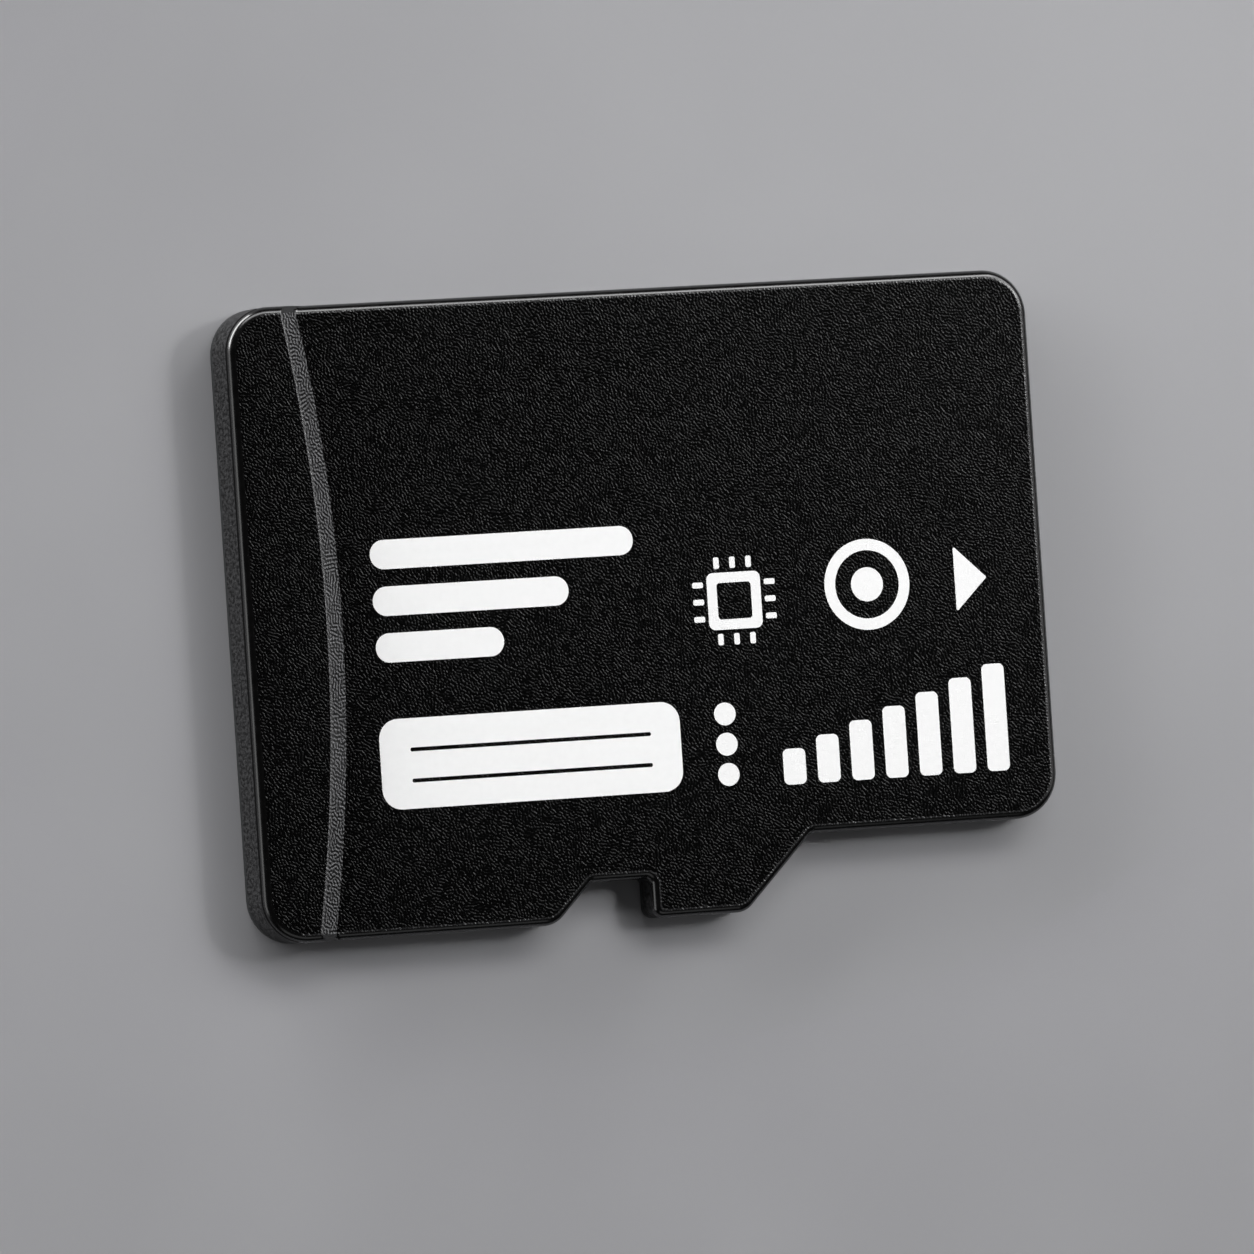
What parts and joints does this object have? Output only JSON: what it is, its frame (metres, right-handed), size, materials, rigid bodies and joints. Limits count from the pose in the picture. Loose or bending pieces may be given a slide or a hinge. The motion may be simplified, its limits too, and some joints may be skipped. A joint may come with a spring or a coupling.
{
  "type": "memory card",
  "caption": "Thin rectangular memory card with a grip ridge, a stepped and notched side, and gold contacts on a board under a moulded body that seals stacked dies.",
  "frame": {"origin": "middle of the contact face, which the card lies on", "axes": "+X from the tail with the grip ridge to the nose with the contacts, +Y towards the straight side, +Z from the contact face to the label face"},
  "size_m": [0.015, 0.011, 0.001],
  "materials": {
    "moulding": "black epoxy moulding compound with a fine spark-eroded grain",
    "board": "black solder mask on laminate",
    "gold": "plated gold",
    "film": "die attach film",
    "silicon": "ground silicon",
    "ceramic": "ceramic chip with tinned ends"
  },
  "bodies": {
    "root": {"mould_body": "moulding", "contact_board": "board", "contact_dat2": "gold", "contact_dat3": "gold", "contact_cmd": "gold", "contact_vdd": "gold", "contact_clk": "gold", "contact_vss": "gold", "contact_dat0": "gold", "contact_dat1": "gold", "lower_die_film": "film", "lower_flash_die": "silicon", "upper_die_film": "film", "upper_flash_die": "silicon", "controller_film": "film", "controller_die": "silicon", "capacitor_1": "ceramic", "capacitor_2": "ceramic", "capacitor_3": "ceramic", "resistor_1": "ceramic", "resistor_2": "ceramic", "flash_bond_wires": "gold", "controller_bond_wires": "gold"}
  },
  "joints": []
}
